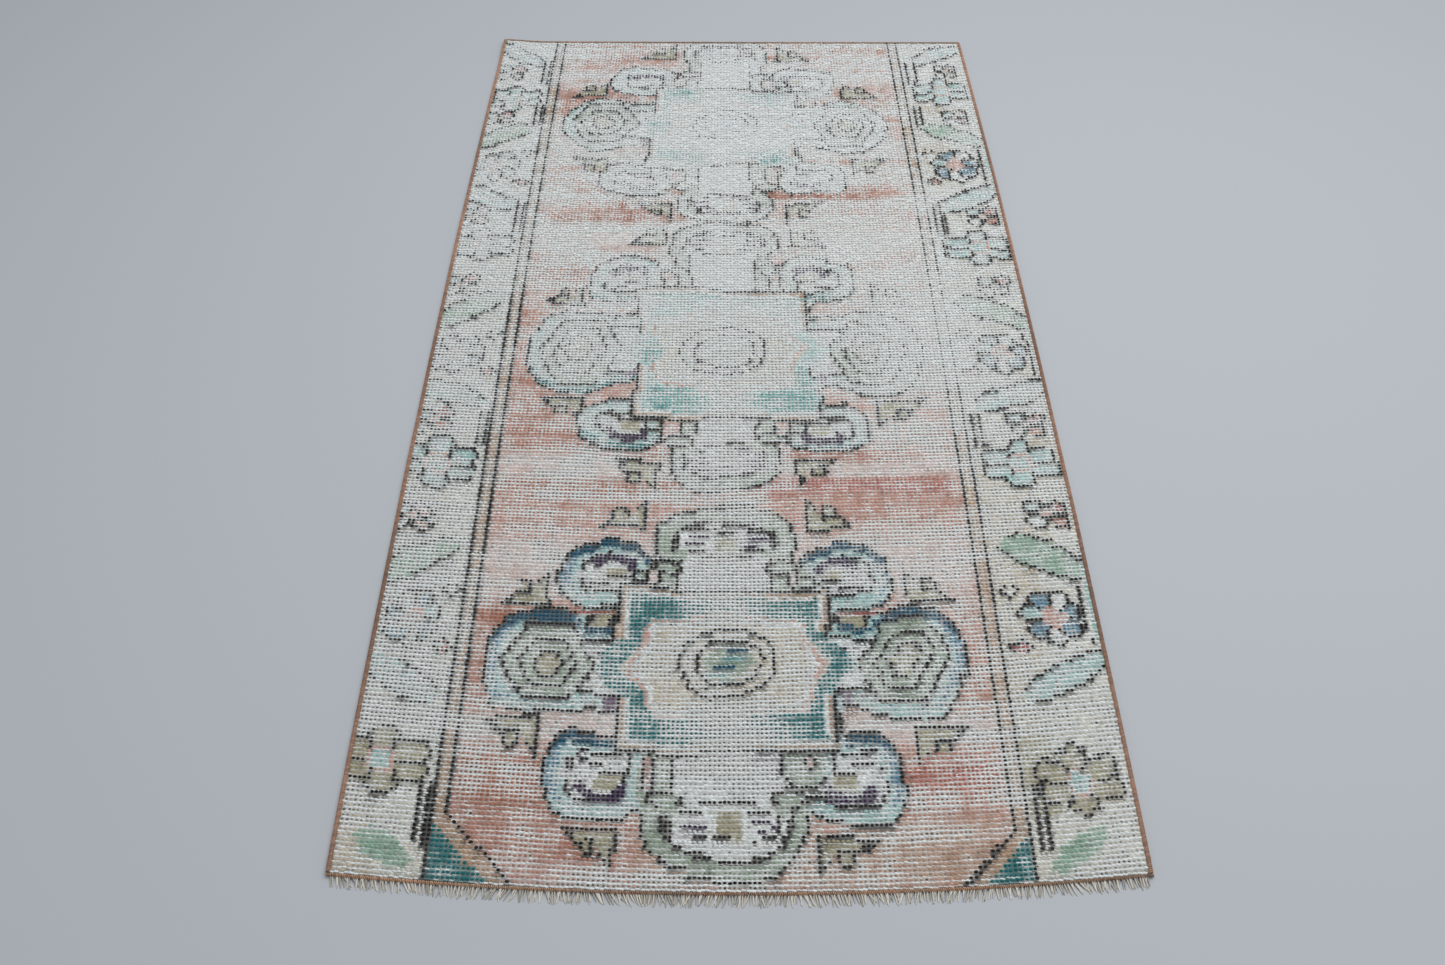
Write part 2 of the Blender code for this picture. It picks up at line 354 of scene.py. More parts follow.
def draw_panel(chart, medallion):
    """The square at the medallion's heart: a scalloped star on teal, with teal tips beyond its sides."""
    x, y, panel = C - CENTRE, R - medallion["row"], medallion["panel"]
    square = block(x, y, (0, 0), (24.5, panel + 0.5))
    chart.paint(square, "ivory")
    chart.paint(rim(square, 0, 1), "black")
    chart.paint(rim(square, 1, 1), "tan")
    chart.paint(shrink(square, 3), medallion["ground"])
    reach = np.abs(x) + np.abs(y) * 0.9
    chart.paint((reach < 29.5) & (np.abs(x) > 20) & (np.abs(y) < 6.6), medallion["ground"])
    chart.paint((reach < 24) & (np.abs(x) > 16) & (np.abs(y) < 5), "beige")
    angle = np.arctan2(y / 0.60, x)
    scallop = 1 + 0.045 * np.cos(8 * angle)
    star = oval(x / scallop, y / scallop, (0, 0), (21.0, panel * 0.62), 2.8)
    chart.paint(star, "salmon")
    chart.paint(shrink(star, 1), "ivory")
    chart.paint(shrink(star, 2), "beige")
    for half in ((11.5, 8.6), (8.0, 6.0)):
        chart.outlined(oval(x, y, (0, 0.5), half), "beige")
    chart.paint(oval(x, y, (0, 0.5), (5.8, 4.2)), "sage")
    for step in (-3, -1, 1, 3):
        dash = block(x, y, (0.7 * step, step + 0.5), (2.6, 0.5))
        chart.paint(dash, "aqua" if step % 4 == 1 else "navy")
    for column, row, half_columns, half_rows in medallion["patches"]:
        chart.paint(oval(C, R, (column, row), (half_columns, half_rows)), "aqua")


def shifted(shape, rows):
    """The shape moved along the rug by so many rows."""
    moved = np.zeros_like(shape)
    if rows > 0:
        moved[rows:] = shape[:-rows]
    else:
        moved[:rows] = shape[-rows:]
    return moved


def draw_medallion(chart, medallion):
    """One medallion. The band inside its outline changes dye by the way it faces."""
    x = C - CENTRE
    shape = cartouche(medallion)
    chart.outlined(shape, "ivory")
    band = rim(shape, 1, 3)
    thin = rim(shape, 1, 2)
    far_side, near_side = thin & ~shifted(shape, -3), thin & ~shifted(shape, 3)
    chart.paint(band, medallion["bands"][1])
    chart.paint(band & (np.abs(x) < 19), "sage")
    chart.paint(thin & (np.abs(x) > 34), medallion["bands"][0])
    chart.paint(near_side & (np.abs(x) > 17), medallion["bands"][2])
    chart.paint(far_side & (np.abs(x) > 17), medallion["bands"][3])
    chart.paint(rim(shape, 4, 1) & (np.abs(x) < 34), "black")
    lobes, roundels = medallion["lobes"], medallion["roundels"]
    for way in (-1, 1):
        draw_side_roundel(chart, medallion, way)
        draw_lobe(chart, way, lobes[0][0], -1)
        draw_lobe(chart, way, lobes[1][0], 1)
    draw_end_roundel(chart, *roundels[0], -1)
    draw_end_roundel(chart, *roundels[1], 1)
    draw_panel(chart, medallion)


def draw_flower(chart, column, row, petal):
    """A stepped flower: a petal above and below, two each side, and a small pale heart."""
    x, y = C - column, R - row
    for along in (-4.4, 4.4):
        chart.outlined(oval(x, y, (0, along), (3.6, 3.7), 2.6), petal)
    for way in (-1, 1):
        for along in (-2.2, 2.2):
            chart.outlined(oval(x, y, (way * 5.6, along), (4.0, 3.0), 3.0), petal)
    chart.paint(oval(x, y, (0, 0), (3.2, 3.2)), "pink")
    chart.paint(oval(x, y, (0, 0), (2.4, 2.4)), "mint")


# A little rosette's four blots: columns and rows from its bud, and dye
BLOTS = ((-2.6, 2.0, "mint"), (2.4, 2.2, "red"), (-2.4, -2.2, "ivory"), (2.6, -2.0, "salmon"))


def draw_rosette(chart, column, row):
    """A little flower of four outlined blots round a bud."""
    for across, along, dye in BLOTS:
        chart.outlined(oval(C, R, (column + across, row + along), (2.7, 2.4)), dye)
    chart.paint(block(C, R, (column, row), (1.2, 1.0)), "pink")


def draw_big_rosette(chart, column, row, way):
    """A blue and mint rosette, framed on its outer side."""
    x, y = (C - column) * way, R - row
    for petal in range(7):
        angle = 2 * pi * (petal + 0.25) / 7
        centre = (4.4 * np.cos(angle), 4.6 * np.sin(angle))
        chart.outlined(oval(x, y, centre, (3.2, 3.0)), ("blue", "ivory", "blue", "mint")[petal % 4])
    chart.paint(oval(x, y, (0, 0), (3.0, 2.6)), "pink")
    chart.paint((np.abs(x - 8.0) < 0.5) & (np.abs(y) < 8.0), "black")
    chart.paint((x > 9.0) & (np.abs(y) < 14), "mint")
    for along in (-7.4, 7.4):
        chart.paint(oval(x, y, (-8.4, along), (2.2, 2.0)), "black")
        chart.paint(oval(x, y, (-8.4, along), (1.3, 1.2)), "red" if along < 0 else "cream")


def draw_leaf(chart, start, end, width, dye, outlined=True):
    """A long leaf between two points, with or without a line along both its sides."""
    run = (end[0] - start[0], end[1] - start[1])
    length = np.hypot(*run)
    along = ((C - start[0]) * run[0] + (R - start[1]) * run[1]) / length**2
    across = np.abs((C - start[0]) * run[1] - (R - start[1]) * run[0]) / length
    half = width / 2 * np.sin(pi * np.clip(0.12 + 0.8 * along, 0, 1)) ** 0.6
    on = (along > -0.02) & (along < 1.02)
    if outlined:
        chart.paint(on & (across < half + 0.9), "black")
    chart.paint(on & (across < half), dye)


def draw_borders(chart, rng):
    """Each border: stepped flowers and framed rosettes by turns, with long leaves between them."""
    border = (C < GUARD_LEFT[0]) | (C > GUARD_RIGHT[1])
    chart.paint(border & (smooth_noise(rng, 20, 30) > 0.1), "beige")
    chart.paint((C > GUARD_RIGHT[1]) & (C < 149) & (np.abs(R - 22) < 9), "khaki")
    for middle, way, flower_rows in BORDERS:
        edge, inner = middle + way * 10.0, middle - way * 8.0
        for row in ROSETTE_ROWS:
            draw_leaf(chart, (inner, row - 20.0), (edge, row - 11.0), 6.5, "mint")
            draw_leaf(chart, (inner, row + 21.0), (edge, row + 11.0), 6.5, "leaf")
            draw_big_rosette(chart, middle, row, way)
        for row in BUD_ROWS:
            draw_rosette(chart, middle + way * 3.4, row)
        for number, row in enumerate(flower_rows):
            draw_flower(chart, middle, row, "mint" if number else "khaki")
        draw_leaf(chart, (inner, 283), (edge, 292), 5.5, "mint")
        draw_leaf(chart, (inner, 2), (middle + way * 3, 8), 5.0, "leaf", outlined=False)
        for first, last in STRIPE_ROWS:
            for step in (0, 2):
                stripe = np.abs(C - (middle - way * (8.5 + step))) < 0.6
                chart.paint(stripe & (R > first) & (R < last), "black")


# The flags in the field's notches, as their poles' columns and base lines' rows: upright, and hanging
FLAGS_UP = (
    (39, 63), (60, 85), (99, 85), (121, 63), (40, 162), (62, 187), (99, 187), (122, 162), (40, 262),
    (61, 285), (98, 285), (120, 262),
)
FLAGS_DOWN = (
    (39, 34), (57, 11), (99, 10), (121, 33), (41, 126), (62, 106), (98, 106), (120, 126), (43, 228),
    (63, 206), (98, 206), (120, 229),
)


def make_chart(rng):
    """The whole design: the field, then what lies on it."""
    chart = Chart()
    chart.paint((C > GUARD_LEFT[1]) & (C < GUARD_RIGHT[0]), "salmon")
    draw_borders(chart, rng)
    draw_guards(chart)
    draw_spandrels(chart)
    for medallion in MEDALLIONS.values():
        draw_medallion(chart, medallion)
    for flags, hanging in ((FLAGS_UP, False), (FLAGS_DOWN, True)):
        for column, row in flags:
            draw_flag(chart, column, row, column > CENTRE, hanging)
    return hand_drawn(chart.dye, rng)


def hand_drawn(dye, rng):
    """The design as tied by eye: lines wander by a knot or so, but the guard stripes run straight."""
    loose = 1 - np.exp(-(((C - 20.5) / 6) ** 2)) - np.exp(-(((C - 140) / 6) ** 2))
    column = C + 1.5 * loose * smooth_noise(rng, 16, 14)
    row = R + 1.8 * loose * smooth_noise(rng, 14, 16)
    column = np.clip(column.astype(int), 0, COLUMNS - 1)
    row = np.clip(row.astype(int), 0, ROWS - 1)
    return dye[row, column]


# Bands where the field's dye lot changes: middle row, half rows, dye, how strong, first and last column
ABRASH = (
    (6, 7, "rust", 0.6, 22, 60), (6, 7, "tan", 0.7, 62, 138), (20, 9, "rust", 0.9, 22, 62),
    (21, 8, "salmon", 0.9, 106, 138), (22, 5, "red", 0.5, 118, 138), (34, 4, "ivory", 0.6, 22, 138),
    (46, 14, "rust", 0.55, 22, 50), (46, 10, "salmon", 0.9, 110, 138), (60, 3, "rust", 0.8, 22, 60),
    (74, 9, "ivory", 0.35, 22, 138), (92, 9, "salmon", 0.45, 22, 138), (97, 3, "red", 0.5, 84, 138),
    (98, 3, "rust", 0.8, 22, 70), (104, 4, "ivory", 0.4, 22, 138), (108, 2.5, "rust", 0.8, 22, 128),
    (116, 5, "rust", 0.8, 22, 52), (128, 10, "rust", 0.6, 22, 40), (150, 12, "salmon", 0.6, 22, 38),
    (174, 7, "rust", 0.7, 22, 48), (183.5, 1.6, "rust", 0.9, 40, 120), (190, 6, "ivory", 0.5, 22, 138),
    (199, 3, "rust", 0.6, 22, 60), (208, 8, "rust", 0.8, 40, 128), (219, 3, "salmon", 0.8, 22, 138),
    (229, 4, "rust", 0.8, 118, 138), (235, 5, "ivory", 0.4, 22, 138), (258, 9, "rust", 0.6, 22, 50),
    (258, 8, "rust", 0.6, 112, 138), (272, 6, "ivory", 0.3, 22, 138), (285, 2, "rust", 0.7, 22, 138),
    (293, 3, "rust", 0.6, 22, 138),
)


def field_colour(rng):
    """The field's own ground, whose dye changes in uneven bands along the rug."""
    colour = np.broadcast_to(linear(DYES["pink"]), (ROWS, COLUMNS, 3)).copy()
    waver = 1.6 * smooth_noise(rng, 24, 12)
    streak = smooth_noise(rng, 30, 2.2)
    for row, half, dye, strength, first, last in ABRASH:
        reach = np.abs(R + waver - row) / half
        share = np.clip(1.6 - 1.3 * reach, 0, 1) * np.clip(1.1 + 0.6 * streak, 0, 1) * strength
        share = share * np.clip((C - first) / 8 + 0.5, 0, 1) * np.clip((last - C) / 8 + 0.5, 0, 1)
        colour += (linear(DYES[dye]) - colour) * share[..., None]
    return colour


def patch(column, row, half_columns, half_rows):
    """A soft round patch of the chart, 1 at its middle."""
    return np.exp(-(((C - column) / half_columns) ** 2) - ((R - row) / half_rows) ** 2)


# Where the pile is more or less worn: column, row, half columns, half rows, and how much is added
WEAR = (
    (124, 150, 20, 34, 0.34), (105, 240, 30, 26, 0.16), (75, 238, 22, 26, 0.20), (60, 195, 45, 9, 0.14),
    (9, 200, 14, 70, 0.12), (154, 200, 10, 12, -0.12), (154, 76, 10, 12, -0.12), (120, 190, 22, 22, 0.12),
    (8, 75, 14, 22, 0.18), (79, 30, 12, 10, 0.26), (79, 66, 9, 5, 0.26), (79, 34, 9, 5, 0.20),
    (80, 74, 70, 8, 0.13), (80, 104, 70, 3, 0.12), (80, 50, 50, 34, -0.05), (80, 49.5, 9, 6, -0.20),
    (79, 11, 14, 7, -0.20), (79, 83, 14, 6, -0.16), (57, 23, 14, 8, -0.12), (110, 96, 35, 5, -0.10),
    (25, 130, 8, 60, -0.16), (84, 207, 34, 7, -0.26), (26, 258, 9, 12, -0.16), (154, 20, 12, 12, -0.03),
    (8, 24, 12, 9, -0.06), (67, 229, 12, 6, -0.34), (95, 229, 11, 6, -0.34), (66, 263, 12, 6, -0.20),
    (95, 262, 11, 6, -0.20), (58, 247, 6, 8, -0.22), (102, 248, 5, 6, -0.22), (24, 3, 12, 11, -0.20),
    (137, 3, 10, 10, -0.18), (80, 92, 20, 5, 0.22), (80, 3, 20, 4, 0.12), (154, 5, 10, 8, -0.14),
    (40, 61, 14, 3, -0.22), (120, 60, 14, 3, -0.22), (54, 79, 14, 5, -0.16), (106, 79, 14, 5, -0.16),
    (79, 145, 12, 12, 0.12), (41, 146, 17, 18, 0.24), (50, 172, 12, 8, 0.10), (82, 165.5, 26, 2, -0.24),
    (67, 127, 11, 5, -0.15), (95, 128, 9, 5, -0.15), (59, 144, 4, 8, -0.14), (102, 150, 4, 16, -0.20),
    (40, 128, 14, 4, -0.16), (154, 224, 12, 14, -0.20), (154, 265, 12, 12, -0.12), (141, 148, 4, 46, 0.22),
    (65, 63, 9, 3, -0.12), (97, 63, 8, 3, -0.10), (101, 36, 4, 6, -0.08), (8, 60, 12, 30, 0.12),
    (9, 120, 12, 30, 0.10), (58, 204, 14, 6, -0.14), (46, 256, 14, 10, -0.12), (152, 59, 14, 18, -0.10),
    (40, 20, 16, 10, -0.08),
)


# Pale wool is the softest and has worn the most
DYE_WEAR = {
    "ivory": 0.20, "cream": 0.14, "mint": 0.06, "leaf": -0.06, "beige": 0.10, "sage": 0.0, "teal": 0.04,
    "black": -0.24, "navy": -0.24, "aubergine": -0.20, "mauve": -0.14, "khaki": -0.08,
}


def wear_map(dye, rng):
    """How far each knot's pile is gone, from 0, whole, to 1, down to the ground."""
    wear = 0.40 + 0.08 * smooth_noise(rng, 26, 22) + 0.09 * smooth_noise(rng, 9, 7)
    wear += 0.10 * smooth_noise(rng, 3.5, 3)
    wear += 0.12 * smooth_noise(rng, 26, 2.2) + 0.07 * smooth_noise(rng, 14, 1.0)
    wear += 0.10 * np.clip((R - 95) / 70, 0, 1) + 0.02 * np.clip((R - 175) / 60, 0, 1)
    wear += 0.08 * smooth_noise(rng, 1.1, 9) + 0.07 * rng.standard_normal(wear.shape)
    wear[cartouche(MEDALLIONS["far"])] += 0.13
    field = dyed(dye, "salmon", "teal")
    wear[field] += (0.15 * smooth_noise(rng, 34, 4) + 0.10 * smooth_noise(rng, 16, 1.6))[field]
    wear += 0.14 * np.exp(-(((C - CENTRE) / 8) ** 2)) * np.clip((R - 10) / 40, 0.35, 1)
    for column, row, half_columns, half_rows, amount in WEAR:
        wear += amount * patch(column, row, half_columns, half_rows)
    for name, amount in DYE_WEAR.items():
        wear[dyed(dye, name)] += amount
    return np.clip(wear, 0.02, 0.97)


def knot_colours(dye, wear, rng):
    """The wool's colour at each knot. Worn knots are painted dark, as the shade in the hole their pile
    leaves, and dark ones wear away last.
    """
    colour = np.array([linear(DYES[name]) for name in NAMES])[dye]
    field = dyed(dye, "salmon") & (C > GUARD_LEFT[1]) & (C < GUARD_RIGHT[0])
    colour[field] = field_colour(rng)[field]
    dark = dyed(dye, "black", "aubergine", "navy")
    grain = 0.15 * rng.standard_normal(wear.shape)
    # How far each knot's colour goes over to the painted shade of its hole, by its wear
    worn_shade_share = np.where(dark, (wear - 0.55) * 1.7, wear * 2.5 - 0.90)
    worn_shade_share = np.where(dark & (rng.uniform(size=wear.shape) < 0.10 + 0.25 * wear), worn_shade_share + 0.45, worn_shade_share)
    worn_shade_share = np.clip(worn_shade_share + grain, 0, 0.94)[..., None]
    distance = np.clip((R - 80) / 120, 0, 1)[..., None]
    # Painted shade of the hole where the pile is gone, a little paler towards the far end
    hole_shade = linear(WORN_HOLE_SHADE) * np.exp(0.8 * rng.standard_normal(wear.shape))[..., None]
    hole_shade += (linear(DYES["ivory"]) - hole_shade) * 0.30 * distance
    colour += (hole_shade - colour) * worn_shade_share
    return np.clip(colour * (1 + 0.10 * rng.standard_normal(wear.shape))[..., None], 0, 1)


# ---------------------------------------------------------------- shader groups and materials


def connect(tree, node, sockets):
    """Gives each named input socket of a node its value or its link."""
    for key, value in dict(sockets).items():
        if isinstance(value, bpy.types.NodeSocket):
            tree.links.new(value, node.inputs[key])
        else:
            node.inputs[key].default_value = value


def add(tree, kind, sockets=(), **settings):
    """A new node, with its settings and its input sockets."""
    node = tree.nodes.new(kind)
    for name, value in settings.items():
        setattr(node, name, value)
    connect(tree, node, sockets)
    return node


def new_tree(name, kind, inputs, outputs):
    """A node group with its sockets: inputs as label, type and default; outputs as label and type."""
    tree = bpy.data.node_groups.new(name, kind)
    for label, socket, value in inputs:
        made = tree.interface.new_socket(label, in_out="INPUT", socket_type="NodeSocket" + socket)
        if value is not None:
            made.default_value = value
    for label, socket in outputs:
        tree.interface.new_socket(label, in_out="OUTPUT", socket_type="NodeSocket" + socket)
    return tree, tree.nodes.new("NodeGroupInput").outputs, tree.nodes.new("NodeGroupOutput")


def calc(tree, operation, *values):
    """The result of one step of arithmetic."""
    return add(tree, "ShaderNodeMath", dict(enumerate(values)), operation=operation).outputs[0]


def scaled(tree, colour, gain):
    """A colour made lighter or darker."""
    product = add(tree, "ShaderNodeVectorMath", {0: colour, "Scale": gain}, operation="SCALE")
    return product.outputs["Vector"]


def noise_of_size(tree, size, detail, roughness):
    """Noise in the rug's own space, whose features are about the given size."""
    place_in_rug = add(tree, "ShaderNodeTexCoord").outputs["Object"]
    sockets = {
        "Vector": place_in_rug, "Scale": calc(tree, "DIVIDE", 1.0, size),
        "Detail": detail, "Roughness": roughness,
    }
    return add(tree, "ShaderNodeTexNoise", sockets).outputs["Fac"]


COLOUR_INPUT = ("Colour", "Color", (0.5, 0.5, 0.5, 1.0))
DUST_COLOUR = (0.42, 0.40, 0.37, 1.0)


def fibre_group():
    """Wool or cotton fibre: fine mottling of the colour, and its relief."""
    inputs = (COLOUR_INPUT, ("Fibre Size", "Float", 0.0006), ("Mottle", "Float", 0.25))
    outputs = (("Colour", "Color"), ("Height", "Float"))
    tree, given, result = new_tree("Yarn fibre", "ShaderNodeTree", inputs, outputs)
    noise = noise_of_size(tree, given["Fibre Size"], 3.0, 0.6)
    swing = calc(tree, "MULTIPLY", calc(tree, "SUBTRACT", noise, 0.5), given["Mottle"])
    gain = calc(tree, "MULTIPLY_ADD", swing, 2.0, 1.0)
    connect(tree, result, {"Colour": scaled(tree, given["Colour"], gain), "Height": noise})
    return tree


def dust_group():
    """Ground-in dust: soft patches that grey a colour and roughen it."""
    inputs = (
        COLOUR_INPUT, ("Dust Colour", "Color", DUST_COLOUR),
        ("Amount", "Float", 0.15), ("Patch Size", "Float", 0.06),
    )
    outputs = (("Colour", "Color"), ("Roughness", "Float"))
    tree, given, result = new_tree("Ground-in dust", "ShaderNodeTree", inputs, outputs)
    noise = noise_of_size(tree, given["Patch Size"], 4.0, 0.65)
    mask = add(tree, "ShaderNodeMapRange", {"Value": noise, "From Min": 0.35, "From Max": 0.75})
    share = calc(tree, "MULTIPLY", mask.outputs[0], given["Amount"])
    # On a colour mix, sockets 0, 6 and 7 are the factor and the two colours, and output 2 is the result
    colours = {0: share, 6: given["Colour"], 7: given["Dust Colour"]}
    mix = add(tree, "ShaderNodeMix", colours, data_type="RGBA")
    rough = add(tree, "ShaderNodeMapRange", {"Value": share, "To Min": 0.86, "To Max": 0.98})
    connect(tree, result, {"Colour": mix.outputs[2], "Roughness": rough.outputs[0]})
    return tree


def ply_group():
    """The twist of a plied yarn: slanted bands, with painted shade in the grooves between the plies, by a
    coordinate along and one round it.
    """
    inputs = (COLOUR_INPUT, ("Along", "Float", 0.0), ("Round", "Float", 0.0), ("Shade", "Float", 0.3))
    outputs = (("Colour", "Color"), ("Height", "Float"))
    tree, given, result = new_tree("Plied twist with groove shade", "ShaderNodeTree", inputs, outputs)
    turn = calc(tree, "MULTIPLY", calc(tree, "ADD", given["Along"], given["Round"]), 2 * pi)
    height = calc(tree, "MULTIPLY_ADD", calc(tree, "SINE", turn), 0.5, 0.5)
    # Painted shade: the colour darkens where the twist is low, in the grooves
    groove_shade = calc(tree, "MULTIPLY", calc(tree, "SUBTRACT", 1.0, height), given["Shade"])
    gain = calc(tree, "SUBTRACT", 1.0, groove_shade)
    connect(tree, result, {"Colour": scaled(tree, given["Colour"], gain), "Height": height})
    return tree


# Each yarn's finish: its fibres' size and how strongly they mottle it, its dust, its relief and its sheen
FINISHES = {
    "wool_pile": (0.0008, 0.5, 0.10, 0.0004, 0.06),
    "cotton_weft": (0.0006, 0.3, 0.10, 0.0003, 0.04),
    "edging_wool": (0.0005, 0.4, 0.12, 0.0003, 0.2),
    "warp_ends": (0.0004, 0.25, 0.05, 0.0002, 0.05),
    "core_cotton": (0.0006, 0.3, 0.2, 0.0003, 0.1),
    "ground_cotton": (0.0007, 0.35, 0.25, 0.0003, 0.1),
}
PLIED = ("warp_ends",)


def attribute(tree, name, output="Fac"):
    """What a piece's named attribute says."""
    return add(tree, "ShaderNodeAttribute", attribute_name=name).outputs[output]


def yarn_material(name, groups):
    """A yarn's finish over the piece's own dye."""
    fibre, mottle, dust, relief, sheen = FINISHES[name]
    material = bpy.data.materials.new(name)
    material.use_nodes = True
    tree = material.node_tree
    colour = attribute(tree, "dye", "Color")
    twist = None
    if name in PLIED:
        sockets = {"Colour": colour, "Along": attribute(tree, "along"), "Round": attribute(tree, "around")}
        twist = add(tree, "ShaderNodeGroup", sockets, node_tree=groups["ply"]).outputs
        colour = twist["Colour"]
    sockets = {"Colour": colour, "Fibre Size": fibre, "Mottle": mottle}
    wool = add(tree, "ShaderNodeGroup", sockets, node_tree=groups["fibre"]).outputs
    sockets = {"Colour": wool["Colour"], "Amount": dust}
    dusty = add(tree, "ShaderNodeGroup", sockets, node_tree=groups["dust"]).outputs
    fibres = {"Strength": 0.6, "Distance": relief, "Height": wool["Height"]}
    if twist:
        plies = {"Strength": 0.8, "Distance": relief, "Height": twist["Height"]}
        fibres["Normal"] = add(tree, "ShaderNodeBump", plies).outputs["Normal"]
    bump = add(tree, "ShaderNodeBump", fibres)
    shader = tree.nodes["Principled BSDF"]
    connect(tree, shader, {
        "Base Color": dusty["Colour"], "Roughness": dusty["Roughness"], "Normal": bump.outputs["Normal"],
        "Sheen Weight": sheen, "Sheen Roughness": 0.6, "Specular IOR Level": 0.12,
    })
    return material


# ---------------------------------------------------------------- geometry trees


def piece_tree(name, inputs):
    """A tree that turns a piece's points into its mesh, which has the material that is given."""
    inputs = (("Geometry", "Geometry", None), *inputs, ("Material", "Material", None))
    return new_tree(name, "GeometryNodeTree", inputs, (("Geometry", "Geometry"),))


def named(tree, name, kind):
    """What the points' named attribute says."""
    return add(tree, "GeometryNodeInputNamedAttribute", {"Name": name}, data_type=kind).outputs["Attribute"]


def finish_tree(tree, given, result, geometry):
    """Every tree ends alike: real meshes, smooth, with the material set."""
    real = add(tree, "GeometryNodeRealizeInstances", {"Geometry": geometry})
    smooth = add(tree, "GeometryNodeSetShadeSmooth", {"Geometry": real.outputs["Geometry"]})
    sockets = {"Geometry": smooth.outputs["Geometry"], "Material": given["Material"]}
    covered = add(tree, "GeometryNodeSetMaterial", sockets)
    connect(tree, result, {"Geometry": covered.outputs["Geometry"]})


def put_on_points(tree, given, result, shape):
    """A copy of the shape on every point, turned and sized as the point says."""
    turn = add(tree, "FunctionNodeEulerToRotation", {"Euler": named(tree, "turn", "FLOAT_VECTOR")})
    copies = add(tree, "GeometryNodeInstanceOnPoints", {
        "Points": given["Geometry"], "Instance": shape,
        "Rotation": turn.outputs[0], "Scale": named(tree, "swell", "FLOAT_VECTOR"),
    })
    finish_tree(tree, given, result, copies.outputs["Instances"])


def circle(tree, resolution, radius):
    """A round curve."""
    sockets = {"Resolution": resolution, "Radius": radius}
    return add(tree, "GeometryNodeCurvePrimitiveCircle", sockets).outputs["Curve"]


def tuft_tree():
    """Stands an oval tuft, open underneath, on every point."""
    tree, given, result = piece_tree("Tufts", (
        ("Sides", "Int", 6), ("Half Length", "Float", 0.0024), ("Half Width", "Float", 0.0016),
        ("Crown", "Float", 0.5), ("Height", "Float", 0.001),
    ))
    cone = add(tree, "GeometryNodeMeshCone", {
        "Vertices": given["Sides"], "Side Segments": 1, "Fill Segments": 1,
        "Radius Top": given["Crown"], "Radius Bottom": 1.0, "Depth": 1.0,
    })
    sockets = {"Geometry": cone.outputs["Mesh"], "Selection": cone.outputs["Bottom"]}
    hollow = add(tree, "GeometryNodeDeleteGeometry", sockets, domain="FACE")
    sockets = {"Geometry": hollow.outputs["Geometry"], "Rotation": (0.0, 0.0, radians(30))}
    turned = add(tree, "GeometryNodeTransform", sockets)
    sockets = {"X": given["Half Length"], "Y": given["Half Width"], "Z": given["Height"]}
    size = add(tree, "ShaderNodeCombineXYZ", sockets)
    sockets = {"Geometry": turned.outputs["Geometry"], "Scale": size.outputs[0]}
    tuft = add(tree, "GeometryNodeTransform", sockets)
    put_on_points(tree, given, result, tuft.outputs["Geometry"])
    return tree


def winding_tree():
    """Puts one turn of yarn, a ring, round every point."""
    tree, given, result = piece_tree("Winding", (
        ("Radius", "Float", 0.0025), ("Yarn Radius", "Float", 0.0006),
        ("Steps", "Int", 12), ("Sides", "Int", 5),
    ))
    ring = circle(tree, given["Steps"], given["Radius"])
    yarn = circle(tree, given["Sides"], given["Yarn Radius"])
    turn = add(tree, "GeometryNodeCurveToMesh", {"Curve": ring, "Profile Curve": yarn})
    put_on_points(tree, given, result, turn.outputs["Mesh"])
    return tree


def marked(tree, geometry, name, value):
    """The geometry with a value stored on its points."""
    sockets = {"Geometry": geometry, "Name": name, "Value": value}
    stored = add(tree, "GeometryNodeStoreNamedAttribute", sockets, data_type="FLOAT", domain="POINT")
    return stored.outputs["Geometry"]


def strand_tree():
    """Sweeps a round yarn along every edge run. The points carry its thickness."""
    tree, given, result = piece_tree("Strands", (("Sides", "Int", 5),))
    runs = add(tree, "GeometryNodeMeshToCurve", {"Mesh": given["Geometry"]})
    along = add(tree, "GeometryNodeSplineParameter").outputs["Length"]
    around = add(tree, "GeometryNodeSplineParameter").outputs["Factor"]
    swept = add(tree, "GeometryNodeCurveToMesh", {
        "Curve": marked(tree, runs.outputs["Curve"], "along", along),
        "Profile Curve": marked(tree, circle(tree, given["Sides"], 1.0), "around", around),
        "Scale": named(tree, "thickness", "FLOAT"), "Fill Caps": True,
    })
    finish_tree(tree, given, result, swept.outputs["Mesh"])
    return tree


def link_object(name, mesh):
    """A new object of the mesh, in the scene."""
    obj = bpy.data.objects.new(name, mesh)
    bpy.context.scene.collection.objects.link(obj)
    return obj


ATTRIBUTE_KINDS = {1: ("FLOAT", "value"), 3: ("FLOAT_VECTOR", "vector"), 4: ("FLOAT_COLOR", "color")}


def points_object(name, points, edges=(), **attributes):
    """A mesh of loose points or edge runs that carries the attributes a tree reads."""
    mesh = bpy.data.meshes.new(name)
    mesh.vertices.add(len(points))
    mesh.vertices.foreach_set("co", np.ascontiguousarray(points, np.float32).ravel())
    if len(edges):
        mesh.edges.add(len(edges))
        mesh.edges.foreach_set("vertices", np.ascontiguousarray(edges, np.int32).ravel())
    for label, values in attributes.items():
        values = np.asarray(values, np.float32)
        kind, field = ATTRIBUTE_KINDS[1 if values.ndim == 1 else values.shape[1]]
        mesh.attributes.new(label, kind, "POINT").data.foreach_set(field, values.ravel())
    return link_object(name, mesh)


def realised(obj, tree, values):
    """Runs the tree on the object and leaves its plain mesh there."""
    modifier = obj.modifiers.new("make", "NODES")
    modifier.node_group = tree
    for item in tree.interface.items_tree:
        if item.in_out == "INPUT" and item.name in values:
            modifier[item.identifier] = values[item.name]
    graph = bpy.context.evaluated_depsgraph_get()
    mesh = bpy.data.meshes.new_from_object(obj.evaluated_get(graph), depsgraph=graph)
    obj.modifiers.remove(modifier)
    old = obj.data
    obj.data = mesh
    bpy.data.meshes.remove(old)
    mesh.name = obj.name
    return obj


